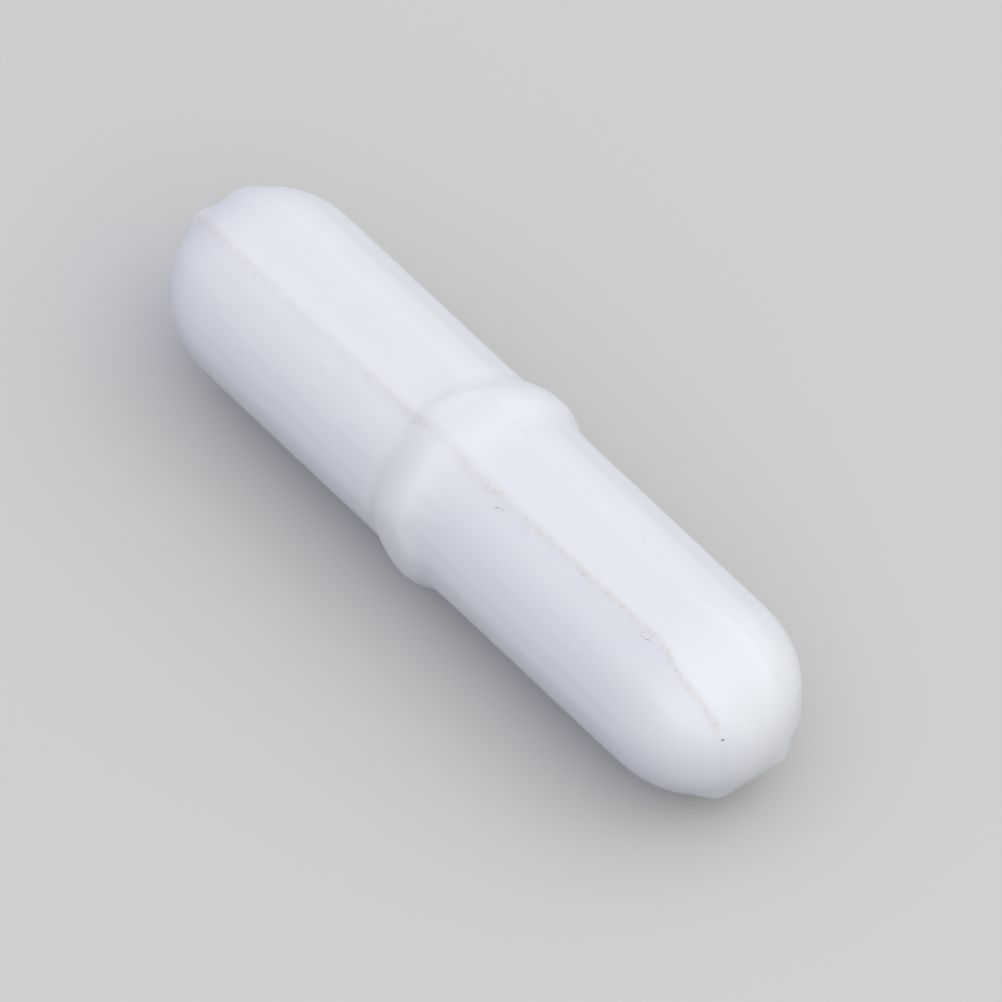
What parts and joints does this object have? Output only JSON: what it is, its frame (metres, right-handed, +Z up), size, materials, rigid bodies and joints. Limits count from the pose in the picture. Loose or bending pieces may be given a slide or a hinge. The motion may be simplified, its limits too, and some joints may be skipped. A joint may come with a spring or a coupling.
{
  "type": "magnetic stir bar",
  "caption": "Octagonal stir bar with faceted domed ends and a low pivot ring round the middle; a rod magnet is sealed in its white PTFE jacket.",
  "frame": {"origin": "centre of the bar, on its axis, in the middle plane of the pivot ring", "axes": "+X along the bar, +Z up through the middle of a facet, so that one facet faces straight down"},
  "size_m": [0.03, 0.0076, 0.0076],
  "materials": {
    "white_ptfe": "milky, slightly waxy satin, as moulded",
    "magnet_alloy": "ground rod, dull grey"
  },
  "bodies": {
    "root": {"ptfe_jacket": "white_ptfe", "bar_magnet": "magnet_alloy"}
  },
  "joints": []
}
